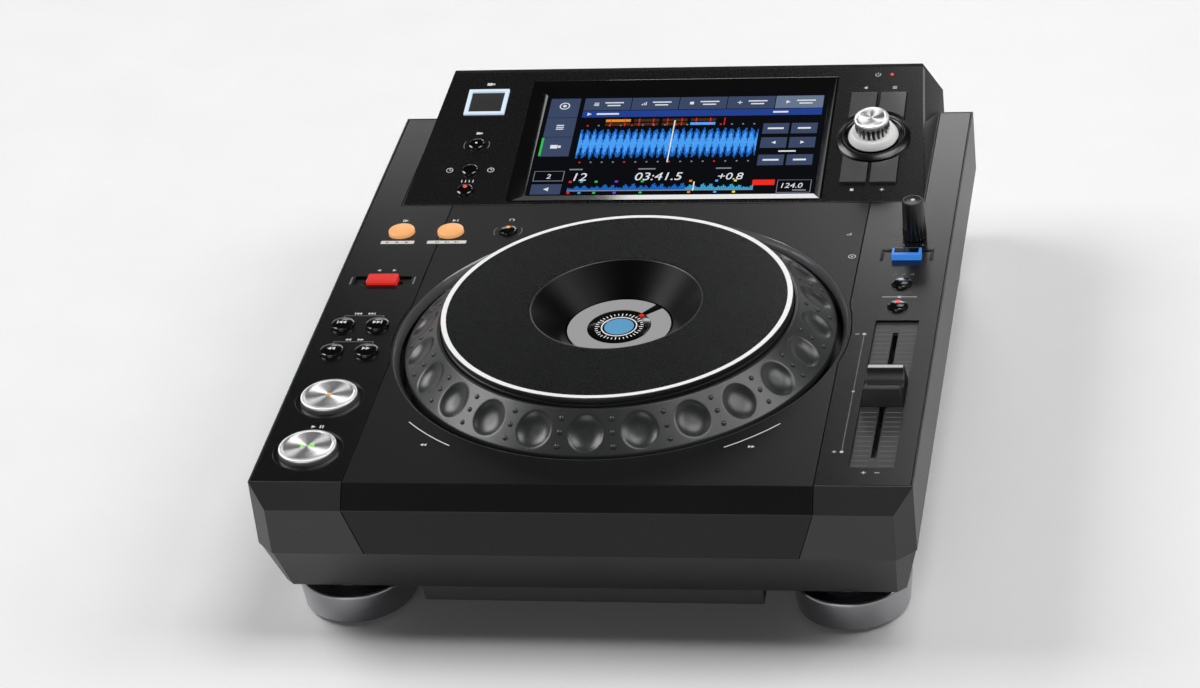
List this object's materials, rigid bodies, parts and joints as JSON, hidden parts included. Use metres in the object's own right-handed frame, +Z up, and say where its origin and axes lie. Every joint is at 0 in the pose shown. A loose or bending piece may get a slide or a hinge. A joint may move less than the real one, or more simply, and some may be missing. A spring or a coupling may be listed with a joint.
{
  "type": "dj media player",
  "caption": "Tabletop deck for music files with a dimpled jog wheel, tempo fader, push buttons and a tilted touch display beside a selector knob, standing on round metal feet",
  "frame": {"origin": "middle of the table area that the player covers", "axes": "X to the user's right, Y to the back, Z up"},
  "size_m": [0.3058, 0.3858, 0.1111],
  "materials": {
    "case_grey": "satin moulded",
    "deck_black": "satin painted",
    "strip_black": "semi-gloss",
    "hood_black": "fine textured",
    "face_black": "gloss",
    "foot_metal": "anodised",
    "rubber": "matte",
    "pan_steel": "matte",
    "dial_grey": "soft touch",
    "platter_black": "fine textured",
    "trim_white": "satin",
    "screen": "glossy lit",
    "button_metal": "spun",
    "button_black": "gloss",
    "button_orange": "lit",
    "lever_red": "lit",
    "button_blue": "lit",
    "lamp_white": "lit",
    "knob_black": "matte",
    "knob_metal": "knurled",
    "board": "circuit board",
    "inner_plastic": "moulded",
    "inner_steel": "plated",
    "jack_brass": "plated"
  },
  "bodies": {
    "chassis": {"upper_case": "case_grey", "lower_case": "case_grey", "bottom_plate": "pan_steel", "centre_panel": "deck_black", "left_panel": "strip_black", "right_panel": "strip_black", "feet": "foot_metal", "foot_pads": "rubber", "rear_hood": "hood_black", "rear_panel": "pan_steel", "display_fascia": "face_black", "screen_bezel": "face_black", "lcd_screen": "screen", "jog_post": "inner_plastic", "jog_display": "screen", "switch_boards": "board", "fader_tray": "strip_black", "fader_body": "inner_steel", "speed_pot": "inner_steel", "usb_light_frame": "lamp_white", "usb_socket": "inner_steel", "selector_encoder": "inner_steel", "main_board": "board", "power_supply": "board", "rca_jacks": "jack_brass", "rear_sockets": "inner_steel", "ac_inlet": "knob_black"},
    "jog_wheel": {"jog_dial": "dial_grey", "jog_hub": "inner_plastic", "slit_disc": "inner_plastic"},
    "jog_top": {"jog_platter": "platter_black", "jog_trim_ring": "trim_white"},
    "selector_push": {"selector_collar": "inner_plastic"},
    "selector_turn": {"selector_skirt": "trim_white", "selector_knob": "knob_metal"},
    "speed_control": {"speed_knob": "knob_black"},
    "tempo_fader": {"fader_cap": "knob_black", "fader_stem": "inner_steel"},
    "direction_switch": {"direction_lever": "lever_red"},
    "usb_cover": {"usb_door": "button_black"},
    "play_button": {"play_button": "button_metal"},
    "cue_button": {"cue_button": "button_metal"},
    "search_back_button": {"search_back_button": "button_black"},
    "search_next_button": {"search_next_button": "button_black"},
    "track_back_button": {"track_back_button": "button_black"},
    "track_next_button": {"track_next_button": "button_black"},
    "loop_in_button": {"loop_in_button": "button_orange"},
    "loop_out_button": {"loop_out_button": "button_orange"},
    "reloop_button": {"reloop_button": "button_black"},
    "tempo_range_button": {"tempo_range_button": "button_black"},
    "master_tempo_button": {"master_tempo_button": "button_black"},
    "jog_mode_button": {"jog_mode_button": "button_blue"},
    "usb_stop_button": {"usb_stop_button": "button_black"},
    "time_mode_button": {"time_mode_button": "button_black"},
    "quantize_button": {"quantize_button": "button_black"},
    "browse_rear_left_button": {"browse_rear_left_button": "button_black"},
    "browse_rear_right_button": {"browse_rear_right_button": "button_black"},
    "browse_front_left_button": {"browse_front_left_button": "button_black"},
    "browse_front_right_button": {"browse_front_right_button": "button_black"},
    "power_button": {"power_button": "knob_black"}
  },
  "joints": [
    {"name": "jog_turn", "type": "hinge", "parent": "chassis", "child": "jog_wheel", "pos_m": [0, -0.05485, 0.0855], "axis": [0, 0, 1], "continuous": true},
    {"name": "jog_press", "type": "slide", "parent": "jog_wheel", "child": "jog_top", "axis": [0, 0, -1], "range_m": [0, 0.0004], "stiffness_N_per_m": 4000, "springref_m": -0.0005},
    {"name": "selector_press", "type": "slide", "parent": "chassis", "child": "selector_push", "axis": [0, 0.1961, -0.9806], "range_m": [0, 0.0006], "stiffness_N_per_m": 2500, "springref_m": -0.0003},
    {"name": "selector_spin", "type": "hinge", "parent": "selector_push", "child": "selector_turn", "pos_m": [0.1056, 0.12148, 0.09531], "axis": [0, -0.1961, 0.9806], "continuous": true},
    {"name": "speed_turn", "type": "hinge", "parent": "chassis", "child": "speed_control", "pos_m": [0.134, 0.03645, 0.0855], "axis": [0, 0, 1], "range_deg": [-150, 150]},
    {"name": "tempo_slide", "type": "slide", "parent": "chassis", "child": "tempo_fader", "axis": [0, 1, 0], "range_m": [-0.05, 0.05]},
    {"name": "direction_slide", "type": "slide", "parent": "chassis", "child": "direction_switch", "axis": [1, 0, 0], "range_m": [-0.0065, 0.0065]},
    {"name": "usb_cover_open", "type": "hinge", "parent": "chassis", "child": "usb_cover", "pos_m": [-0.1045, 0.16129, 0.10276], "axis": [-1, 0, 0], "range_deg": [0, 100]},
    {"name": "play_button_press", "type": "slide", "parent": "chassis", "child": "play_button", "axis": [0, 0, -1], "range_m": [0, 0.0007], "stiffness_N_per_m": 2000, "springref_m": -0.0003},
    {"name": "cue_button_press", "type": "slide", "parent": "chassis", "child": "cue_button", "axis": [0, 0, -1], "range_m": [0, 0.0007], "stiffness_N_per_m": 2000, "springref_m": -0.0003},
    {"name": "search_back_button_press", "type": "slide", "parent": "chassis", "child": "search_back_button", "axis": [0, 0, -1], "range_m": [0, 0.0007], "stiffness_N_per_m": 1500, "springref_m": -0.0003},
    {"name": "search_next_button_press", "type": "slide", "parent": "chassis", "child": "search_next_button", "axis": [0, 0, -1], "range_m": [0, 0.0007], "stiffness_N_per_m": 1500, "springref_m": -0.0003},
    {"name": "track_back_button_press", "type": "slide", "parent": "chassis", "child": "track_back_button", "axis": [0, 0, -1], "range_m": [0, 0.0007], "stiffness_N_per_m": 1500, "springref_m": -0.0003},
    {"name": "track_next_button_press", "type": "slide", "parent": "chassis", "child": "track_next_button", "axis": [0, 0, -1], "range_m": [0, 0.0007], "stiffness_N_per_m": 1500, "springref_m": -0.0003},
    {"name": "loop_in_button_press", "type": "slide", "parent": "chassis", "child": "loop_in_button", "axis": [0, 0, -1], "range_m": [0, 0.0007], "stiffness_N_per_m": 1500, "springref_m": -0.0003},
    {"name": "loop_out_button_press", "type": "slide", "parent": "chassis", "child": "loop_out_button", "axis": [0, 0, -1], "range_m": [0, 0.0007], "stiffness_N_per_m": 1500, "springref_m": -0.0003},
    {"name": "reloop_button_press", "type": "slide", "parent": "chassis", "child": "reloop_button", "axis": [0, 0, -1], "range_m": [0, 0.0007], "stiffness_N_per_m": 1500, "springref_m": -0.0003},
    {"name": "tempo_range_button_press", "type": "slide", "parent": "chassis", "child": "tempo_range_button", "axis": [0, 0, -1], "range_m": [0, 0.0007], "stiffness_N_per_m": 1500, "springref_m": -0.0003},
    {"name": "master_tempo_button_press", "type": "slide", "parent": "chassis", "child": "master_tempo_button", "axis": [0, 0, -1], "range_m": [0, 0.0007], "stiffness_N_per_m": 1500, "springref_m": -0.0003},
    {"name": "jog_mode_button_press", "type": "slide", "parent": "chassis", "child": "jog_mode_button", "axis": [0, 0, -1], "range_m": [0, 0.0007], "stiffness_N_per_m": 1500, "springref_m": -0.0003},
    {"name": "usb_stop_button_press", "type": "slide", "parent": "chassis", "child": "usb_stop_button", "axis": [0, 0.1961, -0.9806], "range_m": [0, 0.0007], "stiffness_N_per_m": 1500, "springref_m": -0.0003},
    {"name": "time_mode_button_press", "type": "slide", "parent": "chassis", "child": "time_mode_button", "axis": [0, 0.1961, -0.9806], "range_m": [0, 0.0007], "stiffness_N_per_m": 1500, "springref_m": -0.0003},
    {"name": "quantize_button_press", "type": "slide", "parent": "chassis", "child": "quantize_button", "axis": [0, 0.1961, -0.9806], "range_m": [0, 0.0007], "stiffness_N_per_m": 1500, "springref_m": -0.0003},
    {"name": "browse_rear_left_button_press", "type": "slide", "parent": "chassis", "child": "browse_rear_left_button", "axis": [0, 0.1961, -0.9806], "range_m": [0, 0.0007], "stiffness_N_per_m": 1500, "springref_m": -0.0003},
    {"name": "browse_rear_right_button_press", "type": "slide", "parent": "chassis", "child": "browse_rear_right_button", "axis": [0, 0.1961, -0.9806], "range_m": [0, 0.0007], "stiffness_N_per_m": 1500, "springref_m": -0.0003},
    {"name": "browse_front_left_button_press", "type": "slide", "parent": "chassis", "child": "browse_front_left_button", "axis": [0, 0.1961, -0.9806], "range_m": [0, 0.0007], "stiffness_N_per_m": 1500, "springref_m": -0.0003},
    {"name": "browse_front_right_button_press", "type": "slide", "parent": "chassis", "child": "browse_front_right_button", "axis": [0, 0.1961, -0.9806], "range_m": [0, 0.0007], "stiffness_N_per_m": 1500, "springref_m": -0.0003},
    {"name": "power_button_press", "type": "slide", "parent": "chassis", "child": "power_button", "axis": [0, -1, 0], "range_m": [0, 0.002], "stiffness_N_per_m": 1500, "springref_m": -0.0003}
  ]
}
